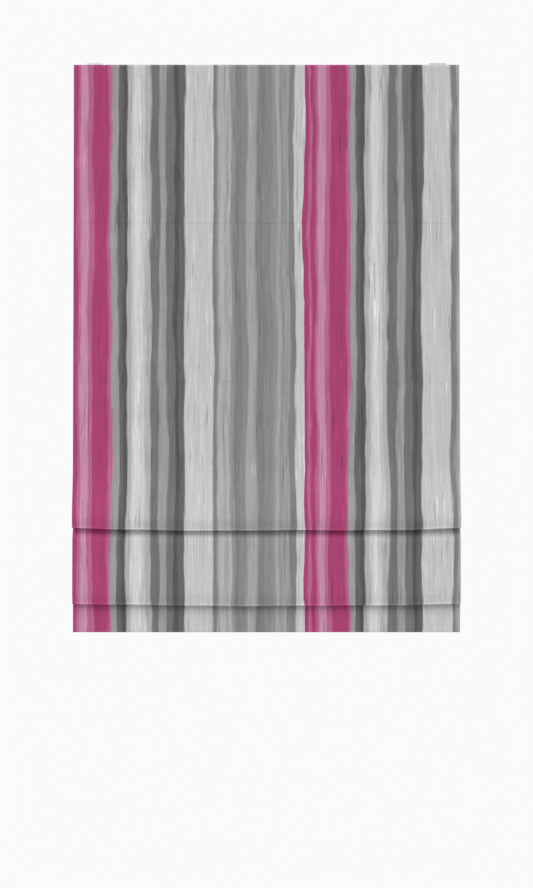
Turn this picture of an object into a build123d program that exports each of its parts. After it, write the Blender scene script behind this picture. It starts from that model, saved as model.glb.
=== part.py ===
"""Flat Roman blind with a cordless spring lift, drawn part way down with two folds formed at the bottom.

Millimetres. X runs along the head rail, -Y is the room side and +Z is up. The origin is the centre of
the two brackets' top faces, where they are screwed to the lintel.
"""

import os
from math import ceil, hypot, pi

from build123d import *

# Cloth and its folds
blind_width = 900
rod_count = 4
rod_pitch = 370  # cloth between one rod and the next
bottom_band = 236  # cloth that hangs below the lowest rod
raised = 390  # how far the lowest rod is lifted from its lowest place
stack_gap = 20  # nearest that two rods come, one above the other
face_thickness = 0.8
lining_thickness = 0.6
lining_inset = 12  # lining stops this far inside each side edge
cloth_gap = 0.2
fold_step = 9  # each fold lies this much further into the room than the one below it
fold_width = 7  # front to back of a fold's rounded bottom edge
fold_drop = 21  # a fold's front hangs straight over at least this height
fold_slope = 1.6  # below a rod, the cloth goes this far down for each step outwards
fold_edge_share = 0.48  # radius of a fold's bottom edge, as a share of the fold's width
fold_bend = 6
back_bend = 3
bulge_height = 110  # the flat sheet leans outwards over this height above the top fold
bulge_top_share = 2.3  # radii of the lean's two bends, as shares of its height
bulge_foot_share = 0.8
crest_width = 3  # front to back of the cloth where it turns over below a rod
crest_share = 0.4  # radius of that turn, as a share of its width
hem_height = 32
hem_tuck = 14
hem_edge_share = 0.45
hem_bend = 3

# Rods, rings and bottom bar
rod_radius = 2
rod_inset = 25
rod_cap_length = 12
rod_cap_wall = 0.5
pocket_play = 1
ring_major = 3.4
ring_minor = 0.9
clip_wall = 1.3
clip_length = 8
clip_play = 0.1
window_play = 2
stop_radius = 4
stop_height = 12
bar_height = 25
bar_thickness = 3
bar_inset = 14
bar_cap_length = 10
bar_cap_wall = 0.8
seat_gap = 0.3

# Head rail, tapes and brackets
rail_depth = 38
rail_height = 32
rail_wall = 1.5
rail_slot = 16
end_cap_plate = 3
end_cap_plug = 8
end_cap_wall = 2
tape_thickness = 1
tape_height = 25
tape_drop = 3
bracket_plate = 2
bracket_height = 5
bracket_size = 40
bracket_inset = 50  # bracket's middle to the rail's end
bracket_pad = 6
screw_radius = 2.25
screw_head_radius = 4
screw_spacing = 26
latch_radius = 8
latch_neck_radius = 5
latch_pin_radius = 3
latch_head_length = 24
latch_head_width = 12
latch_thickness = 2
latch_reach = 32
latch_arm_width = 8

# Lift
cord_inset = 100
cord_radius = 0.7
cord_pitch = 1.5
wind_radius = 8  # shaft centre to the middle of the wound cord
shaft_y = -1
shaft_side = 6
shaft_overhang = 6
running_gap = 0.05
flange_radius = 11.5
flange_thickness = 1.5
journal_radius = 5
journal_length = 4
cradle_base = 1.5
cradle_width = 26
cradle_rise = 8
cord_hole = 3
motor_offset = 140  # motor's start from the first cord
motor_length = 44
motor_width = 29
motor_height = 26
motor_wall = 1.2
hub_radius = 5.6
spring_thickness = 0.3
spring_turns = 5
brake_offset = 170  # brake's start back from the last cord
brake_length = 20
brake_spring_wire = 1.2

# Places that follow from the sizes
rail_top = -bracket_height
rail_bottom = rail_top - rail_height
rail_front = -rail_depth / 2
rail_length = blind_width - 2 * end_cap_plate
lining_offset = face_thickness / 2 + cloth_gap + lining_thickness / 2
flat_y = rail_front - 2 * tape_thickness - lining_thickness / 2 - lining_offset
pocket_inner = rod_radius + pocket_play
pocket_middle = pocket_inner + lining_thickness / 2
rod_y = flat_y + lining_offset + pocket_middle
band_y = rod_y + crest_width / 2
cord_y = shaft_y - wind_radius
core_radius = wind_radius - cord_radius - seat_gap
shaft_z = rail_bottom + rail_wall + cradle_base + seat_gap + flange_radius
cord_places = [-blind_width / 2 + cord_inset, 0, blind_width / 2 - cord_inset]
bracket_spacing = blind_width - 2 * bracket_inset
motor_x = cord_places[0] + motor_offset
brake_x = cord_places[-1] - brake_offset
spool_length = ceil(rod_count * rod_pitch / (2 * pi * wind_radius) + 1) * cord_pitch
spool_start = -cord_pitch
rod_length = blind_width - 2 * rod_inset
bar_length = blind_width - 2 * bar_inset
lining_width = blind_width - 2 * lining_inset
bar_y = band_y + face_thickness / 2 + cloth_gap + lining_thickness + seat_gap + bar_thickness / 2
hem_back_y = bar_y + bar_thickness / 2 + seat_gap + face_thickness / 2
hem_width = hem_back_y - band_y


def find_rod_drops():
    """How far each rod hangs below the cloth's top, from the top rod down. The lowest is lifted first,
    and takes the one above it along once it has come within the stacking gap."""
    drops = [rod_count * rod_pitch - raised]
    for number in range(rod_count - 1, 0, -1):
        drops.insert(0, min(number * rod_pitch, drops[0] - stack_gap))
    return drops


rod_drops = find_rod_drops()
hem_z = rail_top - rod_drops[-1] - bottom_band
bar_base = hem_z + face_thickness + hem_width / 2


def block(x, y, z):
    """A box between the low and high values given for each axis."""
    middle = [(low + high) / 2 for low, high in (x, y, z)]
    return Pos(*middle) * Box(x[1] - x[0], y[1] - y[0], z[1] - z[0])


def bar_along_x(radius, x, y, z):
    """A round bar that runs along X between the two values of x."""
    return Pos((x[0] + x[1]) / 2, y, z) * Rot(0, 90, 0) * Cylinder(radius, x[1] - x[0])


def post(radius, x, y, z):
    """An upright round bar between the two values of z."""
    return Pos(x, y, (z[0] + z[1]) / 2) * Cylinder(radius, z[1] - z[0])


def square_bar(side, x):
    """A square bar along the drive shaft's axis."""
    half = side / 2
    return block(x, (shaft_y - half, shaft_y + half), (shaft_z - half, shaft_z + half))


def cloth_route():
    """The face cloth's middle line, seen from the side, and the radius of each of its corners."""
    points = [(flat_y, rail_top)]
    radii = []
    tops = [0] + rod_drops[:-1]
    crests = [rail_top - low - pocket_middle - lining_offset for low in rod_drops]
    bottoms = [rail_top - (rod_pitch + high + low) / 2 for high, low in zip(tops, rod_drops)]
    folds = [crest - bottom >= 2 * fold_width for crest, bottom in zip(crests, bottoms)]
    turn_start = band_y - crest_width
    for number, (crest, bottom) in enumerate(zip(crests, bottoms)):
        if not folds[number]:
            continue
        front = flat_y - fold_step * sum(folds[number:])
        if len(points) > 1:
            points += [(front, crests[number - 1] - fold_slope * (band_y - front))]
            radii += [fold_bend]
        else:
            foot = max(crest, bottom + fold_drop)
            lean = min(bulge_height, rail_top - tops[number] - 2 * pocket_middle - foot)
            points += [(flat_y, foot + lean), (front, foot)]
            radii += [bulge_top_share * lean, bulge_foot_share * lean]
        back = front + fold_width
        back_top = max(crest - fold_slope * (turn_start - back), bottom + fold_width)
        points += [(front, bottom), (back, bottom), (back, back_top)]
        radii += [fold_edge_share * fold_width, fold_edge_share * fold_width, back_bend]
        points += [(turn_start, crest), (band_y, crest)]
        radii += [crest_share * crest_width, crest_share * crest_width]
    return points, radii


def parallel(points, radii, shift):
    """The same route moved sideways, to the left of its direction, with its corners kept parallel."""
    headings = []
    for (y1, z1), (y2, z2) in zip(points, points[1:]):
        run = hypot(y2 - y1, z2 - z1)
        headings.append(((y2 - y1) / run, (z2 - z1) / run))
    moved = [(points[0][0] - headings[0][1] * shift, points[0][1] + headings[0][0] * shift)]
    moved_radii = []
    for point, radius, (ay, az), (by, bz) in zip(points[1:], radii, headings, headings[1:]):
        turn = ay * bz - az * by
        half_turn = turn / (1 + ay * by + az * bz)
        moved.append((point[0] - shift * (az + ay * half_turn), point[1] + shift * (ay - az * half_turn)))
        moved_radii.append(radius - shift if turn > 0 else radius + shift)
    end_y, end_z = headings[-1]
    moved.append((points[-1][0] - end_z * shift, points[-1][1] + end_y * shift))
    return moved, moved_radii


def cloth_section(points, radii, thickness, shift=0):
    """A strip of cloth of the given thickness along a route, as a flat face seen from the side."""
    outer = FilletPolyline(*parallel(points, radii, shift + thickness / 2)[0],
                           radius=parallel(points, radii, shift + thickness / 2)[1])
    inner = FilletPolyline(*parallel(points, radii, shift - thickness / 2)[0],
                           radius=parallel(points, radii, shift - thickness / 2)[1])
    ends = [Line(outer @ 0, inner @ 0), Line(outer @ 1, inner @ 1)]
    return make_face(outer.edges() + inner.edges() + ends)


def across(section, width):
    """A side view carried across the blind's width."""
    return extrude(Plane.YZ.offset(-width / 2) * section, amount=width, dir=(1, 0, 0))


def make_face_fabric():
    points, radii = cloth_route()
    lining_back = band_y + face_thickness / 2 + cloth_gap + lining_thickness
    tuck_y = lining_back + cloth_gap + face_thickness / 2
    lean = hem_back_y - tuck_y
    points = points + [(band_y, hem_z + face_thickness / 2), (hem_back_y, hem_z + face_thickness / 2)]
    points += [(hem_back_y, hem_z + hem_height), (tuck_y, hem_z + hem_height + 2 * lean)]
    points += [(tuck_y, hem_z + hem_height + 2 * lean + hem_tuck)]
    radii = radii + [hem_edge_share * hem_width, hem_edge_share * hem_width, hem_bend, hem_bend]
    return across(cloth_section(points, radii, face_thickness), blind_width)


def make_lining():
    points, radii = cloth_route()
    lining_end = hem_z + face_thickness + hem_width / 2
    points = points + [(band_y, lining_end)]
    lining = across(cloth_section(points, radii, lining_thickness, lining_offset), lining_width)
    for drop in rod_drops:
        centre = (rod_y, rail_top - drop)
        pocket = bar_along_x(pocket_inner + lining_thickness, (-lining_width / 2, lining_width / 2), *centre)
        lining += pocket - bar_along_x(pocket_inner, (-blind_width, blind_width), *centre)
        half = clip_length / 2 + window_play
        for x in cord_places:
            cut = pocket_inner + lining_thickness + cloth_gap / 2
            lining -= bar_along_x(cut, (x - half, x + half), *centre)
    return lining


def make_tape(front):
    z = (rail_top - tape_drop - tape_height, rail_top - tape_drop)
    return block((-lining_width / 2, lining_width / 2), (front, front + tape_thickness), z)


def make_headrail():
    half = rail_length / 2
    inner = rail_depth / 2 - rail_wall
    rail = block((-half, half), (rail_front, -rail_front), (rail_bottom, rail_top))
    rail -= block((-half, half), (-inner, inner), (rail_bottom + rail_wall, rail_top - rail_wall))
    rail -= block((-half, half), (-rail_slot / 2, rail_slot / 2), (rail_top - rail_wall, rail_top))
    for x in cord_places:
        rail -= post(cord_hole, x, cord_y, (rail_bottom, rail_bottom + rail_wall))
    return rail


def make_end_cap(side):
    edge = rail_length / 2
    half = rail_depth / 2
    plate = block((edge, edge + end_cap_plate), (-half, half), (rail_bottom, rail_top))
    plate = fillet(plate.edges().filter_by(Axis.X), rail_wall)
    reach = half - rail_wall - seat_gap
    z = (rail_bottom + rail_wall + seat_gap, rail_top - rail_wall - seat_gap)
    plug = block((edge - end_cap_plug, edge), (-reach, reach), z)
    wall = end_cap_wall
    plug -= block((edge - end_cap_plug, edge), (wall - reach, reach - wall), (z[0] + wall, z[1] - wall))
    cap = plate + plug
    return cap if side > 0 else mirror(cap, about=Plane.YZ)


def make_bracket(x):
    half = bracket_size / 2
    edge = rail_depth / 2
    plate = block((x - half, x + half), (-edge, edge), (-bracket_plate, 0))
    spacer = block((x - half, x - half + bracket_pad), (-edge, edge), (rail_top, -bracket_plate))
    spacer += block((x - half, x + half), (-edge, -edge + bracket_pad), (rail_top, -bracket_plate))
    bracket = plate + spacer
    bracket -= post(latch_pin_radius + running_gap, x, 0, (-bracket_plate, 0))
    for y in (-screw_spacing / 2, screw_spacing / 2):
        bracket -= post(screw_radius, x, y, (rail_top, 0))
        sink = screw_head_radius - screw_radius
        cone = Cone(screw_head_radius, screw_radius, sink)
        bracket -= Pos(x, y, -bracket_plate + sink / 2) * cone
        bracket -= post(screw_head_radius, x, y, (rail_top, -bracket_plate))
    return bracket


def make_latch(x):
    gap = seat_gap
    disc_z = (rail_top + gap, -bracket_plate - gap)
    head_top = rail_top - rail_wall - gap
    latch = post(latch_radius, x, 0, disc_z)
    latch += block((x - latch_arm_width / 2, x + latch_arm_width / 2), (0, latch_reach), disc_z)
    latch += post(latch_arm_width / 2, x, latch_reach, disc_z)
    latch += post(latch_pin_radius, x, 0, (disc_z[0], -gap))
    latch += post(latch_neck_radius, x, 0, (head_top - latch_thickness, disc_z[0]))
    head = extrude(SlotOverall(latch_head_length, latch_head_width), amount=latch_thickness)
    latch += Pos(x, 0, head_top - latch_thickness) * Rot(0, 0, 90) * head
    return latch


def make_ridged_sleeve(start, turns, inner, wire, pitch):
    """Close turns round the shaft as one sleeve, with one round ridge for each turn."""
    bottom = shaft_z + inner
    sections = Rectangle(turns * pitch, wire / 2)
    profile = Pos(start + turns * pitch / 2, bottom + wire / 4) * sections
    for number in range(turns):
        profile += Pos(start + (number + 0.5) * pitch, bottom + wire / 2) * Circle(wire / 2)
    profile &= Pos(start + turns * pitch / 2, bottom + wire / 2) * Rectangle(turns * pitch, wire)
    placed = Plane(origin=(0, shaft_y, 0), x_dir=(1, 0, 0), z_dir=(0, -1, 0)) * profile
    return revolve(placed, axis=Axis((0, shaft_y, shaft_z), (1, 0, 0)))


def make_spool(x):
    start = x + spool_start
    end = start + spool_length
    spool = bar_along_x(core_radius, (start, end), shaft_y, shaft_z)
    spool += bar_along_x(flange_radius, (start - flange_thickness, start), shaft_y, shaft_z)
    spool += bar_along_x(flange_radius, (end, end + flange_thickness), shaft_y, shaft_z)
    tip = flange_thickness + journal_length
    spool += bar_along_x(journal_radius, (start - tip, end + tip), shaft_y, shaft_z)
    return spool - square_bar(shaft_side + 2 * running_gap, (start - tip, end + tip))


def make_cord_wrap(x):
    turns = max(1, round(raised / (2 * pi * wind_radius)))
    start = x + cord_pitch / 2 + seat_gap
    return make_ridged_sleeve(start, turns, core_radius + running_gap, 2 * cord_radius, cord_pitch)


def make_cradle(x):
    start = x + spool_start - flange_thickness - journal_length
    end = x + spool_start + spool_length + flange_thickness + journal_length
    wall = journal_length - seat_gap
    floor = rail_bottom + rail_wall
    y = (shaft_y - cradle_width / 2, shaft_y + cradle_width / 2)
    cradle = block((start, end), y, (floor, floor + cradle_base))
    for low in (start, end - wall):
        upright = block((low, low + wall), y, (floor, shaft_z))
        upright += bar_along_x(cradle_rise, (low, low + wall), shaft_y, shaft_z)
        cradle += upright
    cradle -= bar_along_x(journal_radius + running_gap, (start, end), shaft_y, shaft_z)
    return cradle - post(cord_hole, x, cord_y, (floor, floor + cradle_base))


def make_lift_cord(x):
    return post(cord_radius, x, cord_y, (stop_bottom(), shaft_z))


def stop_bottom():
    return rail_top - rod_drops[-1] - ring_minor - running_gap - stop_height


def make_hub(x, length):
    hub = bar_along_x(hub_radius, (x, x + length), shaft_y, shaft_z)
    return hub - square_bar(shaft_side + 2 * running_gap, (x, x + length))


def make_case(x, length, bore):
    """A box round the drive shaft with a round chamber that is open on its +X end."""
    y = (shaft_y - motor_width / 2, shaft_y + motor_width / 2)
    case = block((x, x + length), y, (rail_bottom + rail_wall, shaft_z + motor_height / 2))
    case -= bar_along_x(bore, (x + motor_wall, x + length), shaft_y, shaft_z)
    return case - bar_along_x(hub_radius + running_gap, (x, x + length), shaft_y, shaft_z)


def make_motor_cover():
    x = (motor_x + motor_length, motor_x + motor_length + motor_wall)
    y = (shaft_y - motor_width / 2, shaft_y + motor_width / 2)
    cover = block(x, y, (rail_bottom + rail_wall, shaft_z + motor_height / 2))
    return cover - bar_along_x(hub_radius + running_gap, x, shaft_y, shaft_z)


def make_motor_spring():
    """A flat spring wound outwards in half circles, from beside the hub to the chamber's wall."""
    first = hub_radius + seat_gap + spring_thickness
    last = motor_height / 2 - motor_wall - seat_gap - spring_thickness
    step = (last - first) / (2 * spring_turns)
    section = Sketch()
    half_plane = Pos(0, motor_height) * Rectangle(2 * motor_height, 2 * motor_height)
    for number in range(2 * spring_turns):
        radius = first + step * number
        ring = Circle(radius + spring_thickness / 2) - Circle(radius - spring_thickness / 2)
        if number % 2:
            section += Pos(step, 0) * (ring - half_plane)
        else:
            section += ring & half_plane
    start_x = motor_x + motor_wall + seat_gap
    place = Plane(origin=(start_x, shaft_y, shaft_z), x_dir=(0, 1, 0), z_dir=(1, 0, 0))
    return extrude(place * section, amount=motor_length - motor_wall - 2 * seat_gap, dir=(1, 0, 0))


def make_brake_spring():
    length = brake_length - motor_wall - 2 * seat_gap
    turns = int(length / brake_spring_wire)
    start = brake_x + motor_wall + seat_gap
    inner = hub_radius + running_gap
    return make_ridged_sleeve(start, turns, inner, brake_spring_wire, brake_spring_wire)


def make_rod_caps(z):
    inner = rod_radius + running_gap
    outer = inner + rod_cap_wall
    half = rod_length / 2
    caps = []
    for side in (-1, 1):
        tip = side * (half + rod_cap_wall)
        root = side * (half - rod_cap_length)
        x = (min(tip, root), max(tip, root))
        bore = (min(root, side * half), max(root, side * half))
        caps.append(bar_along_x(outer, x, rod_y, z) - bar_along_x(inner, bore, rod_y, z))
    return Compound(children=caps)


def make_rod_rings(z):
    """Three cord eyes, each with a clip that goes round the rod in an opening of its pocket."""
    outer = rod_radius + clip_play + clip_wall
    rings = []
    for x in cord_places:
        span = (x - clip_length / 2, x + clip_length / 2)
        ring = bar_along_x(outer, span, rod_y, z)
        neck = (x - clip_wall, x + clip_wall)
        ring += block(neck, (rod_y, cord_y - ring_major), (z - ring_minor, z + ring_minor))
        ring += Pos(x, cord_y, z) * Torus(ring_major, ring_minor)
        rings.append(ring - bar_along_x(rod_radius + clip_play, span, rod_y, z))
    return Compound(children=rings)


def make_cord_stops():
    bottom = stop_bottom()
    z = (bottom, bottom + stop_height)
    stops = []
    for x in cord_places:
        stop = post(stop_radius, x, cord_y, z)
        stop = fillet(stop.edges(), stop_radius / 4)
        stops.append(stop - post(cord_radius + running_gap, x, cord_y, z))
    return Compound(children=stops)


def make_bottom_bar():
    half = bar_thickness / 2 - bar_cap_wall
    y = (bar_y - half, bar_y + half)
    base = bar_base + bar_cap_wall
    return block((-bar_length / 2, bar_length / 2), y, (base, base + bar_height))


def make_bottom_bar_caps():
    y = (bar_y - bar_thickness / 2, bar_y + bar_thickness / 2)
    z = (bar_base, bar_base + bar_height + 2 * bar_cap_wall)
    bar = make_bottom_bar()
    half = bar_length / 2
    left = block((-half - bar_cap_wall, -half + bar_cap_length), y, z) - bar
    right = block((half - bar_cap_length, half + bar_cap_wall), y, z) - bar
    return Compound(children=[left, right])


def save(solid, name):
    export_step(solid, f"parts/{name}.step")


os.makedirs("parts", exist_ok=True)
save(make_face_fabric(), "face_fabric")
save(make_lining(), "lining")
save(make_tape(rail_front - tape_thickness), "hook_tape")
save(make_tape(rail_front - 2 * tape_thickness), "loop_tape")
save(make_headrail(), "headrail")
save(make_end_cap(-1), "end_cap_left")
save(make_end_cap(1), "end_cap_right")
for side_name, sign in (("left", -1), ("right", 1)):
    save(make_bracket(sign * bracket_spacing / 2), f"bracket_{side_name}")
    save(make_latch(sign * bracket_spacing / 2), f"latch_{side_name}")
for index, cord_x in enumerate(cord_places, 1):
    save(make_spool(cord_x), f"spool_{index}")
    save(make_cord_wrap(cord_x), f"cord_wrap_{index}")
    save(make_cradle(cord_x), f"cradle_{index}")
    save(make_lift_cord(cord_x), f"lift_cord_{index}")
shaft_start = cord_places[0] + spool_start - flange_thickness - journal_length - shaft_overhang
shaft_end = cord_places[-1] + spool_start + spool_length + flange_thickness + journal_length + shaft_overhang
save(square_bar(shaft_side, (shaft_start, shaft_end)), "drive_shaft")
chamber = motor_height / 2 - motor_wall
save(make_case(motor_x, motor_length, chamber), "motor_housing")
save(make_motor_cover(), "motor_cover")
save(make_motor_spring(), "motor_spring")
save(make_hub(motor_x, motor_length + motor_wall), "motor_hub")
save(make_case(brake_x, brake_length, hub_radius + brake_spring_wire + seat_gap), "brake_housing")
save(make_brake_spring(), "brake_spring")
save(make_hub(brake_x, brake_length), "brake_hub")
for index, drop in enumerate(rod_drops, 1):
    height = rail_top - drop
    save(bar_along_x(rod_radius, (-rod_length / 2, rod_length / 2), rod_y, height), f"rod_{index}")
    save(make_rod_caps(height), f"rod_caps_{index}")
    save(make_rod_rings(height), f"rod_rings_{index}")
save(make_cord_stops(), "cord_stops")
save(make_bottom_bar(), "bottom_bar")
save(make_bottom_bar_caps(), "bottom_bar_caps")
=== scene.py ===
# %% [markdown]
# # A striped Roman blind
#
# A Roman blind is one flat cloth that is drawn up in wide overlapping folds by cords behind it. This
# lesson dresses the solids of such a blind: the printed cloth with its two formed folds, the lining
# with its rod pockets, the cords, and the head rail with its lift.
#
# Every length is in metres. X runs along the head rail, -Y is the room side and +Z is up.

# %% Load the solids of the blind
import math

import bpy
import numpy as np
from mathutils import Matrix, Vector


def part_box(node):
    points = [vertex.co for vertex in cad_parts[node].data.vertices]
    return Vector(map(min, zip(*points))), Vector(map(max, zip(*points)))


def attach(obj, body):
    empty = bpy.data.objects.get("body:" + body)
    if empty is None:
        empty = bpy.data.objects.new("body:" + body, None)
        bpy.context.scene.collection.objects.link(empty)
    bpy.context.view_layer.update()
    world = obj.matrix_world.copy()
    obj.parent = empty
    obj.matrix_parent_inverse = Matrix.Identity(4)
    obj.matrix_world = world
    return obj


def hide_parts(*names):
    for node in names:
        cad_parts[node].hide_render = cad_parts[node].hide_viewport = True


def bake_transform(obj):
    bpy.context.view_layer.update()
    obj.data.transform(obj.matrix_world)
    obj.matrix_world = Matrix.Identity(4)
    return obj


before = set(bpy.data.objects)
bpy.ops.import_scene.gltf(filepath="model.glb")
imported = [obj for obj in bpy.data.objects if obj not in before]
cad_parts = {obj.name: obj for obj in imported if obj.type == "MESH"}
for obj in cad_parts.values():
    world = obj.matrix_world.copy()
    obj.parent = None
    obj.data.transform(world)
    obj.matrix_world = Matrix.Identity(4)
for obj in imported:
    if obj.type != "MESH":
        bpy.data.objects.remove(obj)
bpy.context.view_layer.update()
MM = 0.001

# %% [markdown]
# ## Measures
#
# The cloth has to meet the rods, the rail and the hem bar wherever the solids put them, so their
# places are read from the solids' boxes and not typed in again.

# %% Places of the cloth, the bar, the rods and the cords
cloth_low, cloth_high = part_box("face_fabric")
lining_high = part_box("lining")[1]
bar_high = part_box("bottom_bar_caps")[1]
tape_low, tape_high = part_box("loop_tape")
rod_boxes = [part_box(f"rod_{number}") for number in (1, 2, 3, 4)]
rod_z = [(low.z + high.z) / 2 for low, high in rod_boxes]
rod_y = (rod_boxes[0][0].y + rod_boxes[0][1].y) / 2
cord_boxes = [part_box(f"lift_cord_{number}") for number in (1, 2, 3)]
cord_x = [(low.x + high.x) / 2 for low, high in cord_boxes]
cloth_top = cloth_high.z
cloth_bottom = cloth_low.z
half_width = cloth_high.x
lining_half = lining_high.x
rod_pitch = cloth_top - rod_z[0]
print("rods at", [round(z, 4) for z in rod_z], "half width", round(half_width, 4))

# %% [markdown]
# ## The line that the cloth follows
#
# Seen from the side, the cloth is one long line: flat down the front, out over the folds below, round
# each fold's lower edge, back up and over below the next rod. It is set out as a few corners, each with
# a radius, because that is how a fold is set out at the work table. The face cloth and its lining then
# run beside this line at their own distances.

# %% Values that shape the folds
cloth_thick = 0.45 * MM
lining_thick = 0.40 * MM
lining_distance = 0.90 * MM
fold_step = 9 * MM
fold_width = 7 * MM
crest_width = 3 * MM
crest_drop = 4.2 * MM
crest_radius = 0.4 * crest_width
fold_slope = 1.6
lean_height = 110 * MM
lean_slope = 2.3
fold_drop = 24 * MM
fold_rise = [9 * MM, 7 * MM]
tuck_in = 3.2 * MM
lip_out = 1.6 * MM
lip_height = 4.0 * MM
pocket_radius = 3.35 * MM
ROW = 7 * MM

flat_y = rod_y - crest_drop
band_y = rod_y + crest_width / 2
turn_y = rod_y - crest_width / 2
crest_z = [z - crest_drop for z in rod_z]
fold_z = [(rod_z[1 + i] + rod_z[2 + i] - rod_pitch) / 2 + fold_rise[i] for i in (0, 1)]
front_y = [flat_y - 2 * fold_step, flat_y - fold_step]
print("fold edges at", [round(z, 4) for z in fold_z])


# %% A line with rounded corners
def straight_run(start, end, step):
    """Evenly spaced points from start to end, without start itself."""
    count = max(1, int(np.linalg.norm(end - start) / step))
    return [start + (end - start) * share for share in np.linspace(0, 1, count + 1)[1:]]


def rounded_line(corners, radii, step):
    """Points along straight runs joined by tangent arcs. Where the line turns by an angle a, an arc of
    radius r starts r tan(a/2) before the corner and ends as far after it."""
    corners = [np.array(corner, float) for corner in corners]
    points = [corners[0]]
    for before, corner, after, radius in zip(corners, corners[1:], corners[2:], radii):
        heading = (corner - before) / np.linalg.norm(corner - before)
        leaving = (after - corner) / np.linalg.norm(after - corner)
        turn = math.atan2(heading[0] * leaving[1] - heading[1] * leaving[0], heading @ leaving)
        side = 1 if turn > 0 else -1
        start = corner - heading * radius * math.tan(abs(turn) / 2)
        centre = start + side * radius * np.array([-heading[1], heading[0]])
        angles = np.linspace(0, turn, max(4, int(abs(turn) / math.radians(9))))
        arm = start - centre
        arc = np.stack([centre[0] + arm[0] * np.cos(angles) - arm[1] * np.sin(angles),
                        centre[1] + arm[0] * np.sin(angles) + arm[1] * np.cos(angles)], axis=1)
        points += straight_run(points[-1], arc[0], step) + list(arc[1:])
    points += straight_run(points[-1], corners[-1], step)
    return np.array(points)


sample_line = rounded_line([(0, 0), (0, -fold_drop), (fold_width, -fold_drop)], [crest_radius], ROW)
print("a sample line round one corner has", len(sample_line), "points")

# %% [markdown]
# ## Where the cloth is cut into stretches
#
# On the real blind one cloth bends at every rod. A mesh can only bend between two bodies that one
# joint joins, so the cloth is made in stretches that meet edge to edge: from a rod down round the
# fold's lower edge, and from there up to the next rod. As a rod rises by some height, the fold's edge
# above it rises by about half of that, which is what cloth of a fixed length does.
#
# The two folds of the blind as it hangs come first. Their lower edges are pressed: the cloth tucks in a
# little, comes out again to a lip, and turns up behind.

# %% The corners of the two folds
back_y = [turn_y, front_y[1] + fold_width]
turn_up = 3.6 * MM
bottom_z = [fold_z[0] + turn_up, fold_z[1]]
split_drop = 1.6 * MM
split_rise = 0.9 * fold_width
split_z = [crest_z[2] - split_drop, fold_z[1] + split_rise]
back_top = crest_z[3] - fold_slope * (turn_y - back_y[1])
tuck_radius = 2 * MM
lip_radius = 1.2 * MM
bottom_radii = [1.5 * MM, 2.7 * MM]
edge_radii = [[tuck_radius, lip_radius, radius] for radius in bottom_radii]
lean_out = (front_y[1], crest_z[2] - lean_slope * (band_y - front_y[1]))
lean_radii = [[2.3 * lean_height, 0.3 * lean_height], [25 * MM, 40 * MM]]
start_radius = 0.7 * crest_radius
back_radius = 3 * MM


def edge_corners(i):
    """The corners round fold i's lower edge: in a little above it, out to a pressed lip, then below it
    and up to the split on the fold's back."""
    lip = (front_y[i] + tuck_in - lip_out, fold_z[i])
    return [(front_y[i], fold_z[i] + fold_drop), (front_y[i] + tuck_in, fold_z[i] + lip_height), lip,
            (back_y[i], bottom_z[i]), (back_y[i], split_z[i])]


print("the folds' lips are at y", [round(edge_corners(i)[2][0], 4) for i in (0, 1)])

# %% [markdown]
# ## Pleats, hem and lining
#
# The band below the lowest rod turns up round the weight bar and lies against the lining above it. The
# lining follows the face cloth's line, and ends a little above the hem's lower edge.
#
# At the upper two rods no fold has formed yet. The stretch above each still ends in a pleat of one
# millimetre, hidden behind its own lower edge, from which the fold grows as the rod rises. Each pleat's
# strip lies in a plane of its own, because two sheets in one plane would shade each other black where
# raised loops overlap.

# %% The stretches of cloth, top to bottom
pleat = 1.0 * MM
pleat_radius = 0.15 * MM
shingle = 0.3 * MM
pleat_shifts = [-0.1 * MM, 0.4 * MM]
pleat_y = [flat_y + 2 * lining_distance + shift for shift in pleat_shifts]
flap_gap = 0.25 * MM
flap_y = rod_y - pocket_radius - lining_thick / 2 - flap_gap


def behind_pleat(i):
    """The upper corners of the sheet below rod i: it comes out from behind the pleat above it."""
    return [(flat_y + cloth_thick, rod_z[i]), (flat_y, rod_z[i] - pleat)]


def pleat_corners(i):
    """The corners of the sheet's end at rod i, turned back along the pleat's lower edge."""
    level = rod_z[i] - pleat + 0.5 * cloth_thick
    return [(flat_y - shingle, level), (pleat_y[i], level)]


lines = {
    "front_1": rounded_line([(flat_y, cloth_top)] + pleat_corners(0), [pleat_radius], ROW),
    "back_1": rounded_line([(pleat_y[0], rod_z[0] - pleat), (pleat_y[0], rod_z[0])], [], ROW),
    "front_2": rounded_line(behind_pleat(0) + pleat_corners(1), [pleat, pleat_radius], ROW),
    "back_2": rounded_line([(pleat_y[1], rod_z[1] - pleat), (pleat_y[1], rod_z[1])], [], ROW),
    "front_3": rounded_line(
        behind_pleat(1) + [(flat_y, fold_z[0] + fold_drop + lean_height)] + edge_corners(0),
        [pleat] + lean_radii[0] + edge_radii[0], ROW),
    "back_3": rounded_line([(turn_y, split_z[0]), (turn_y, crest_z[2]), (rod_y, crest_z[2])],
                           [crest_radius], ROW / 3),
    "front_4": rounded_line([(rod_y, crest_z[2]), (band_y, crest_z[2]), lean_out] + edge_corners(1),
                            [start_radius] + lean_radii[1] + edge_radii[1], ROW),
    "back_4": rounded_line([(back_y[1], split_z[1]), (back_y[1], back_top), (turn_y, crest_z[3]),
                            (rod_y, crest_z[3])], [back_radius, crest_radius], ROW),
    "flap": rounded_line([(flap_y, rod_z[2] + pocket_radius), (flap_y, crest_z[2])], [], ROW / 3),
}
print("stretches:", list(lines))

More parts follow.
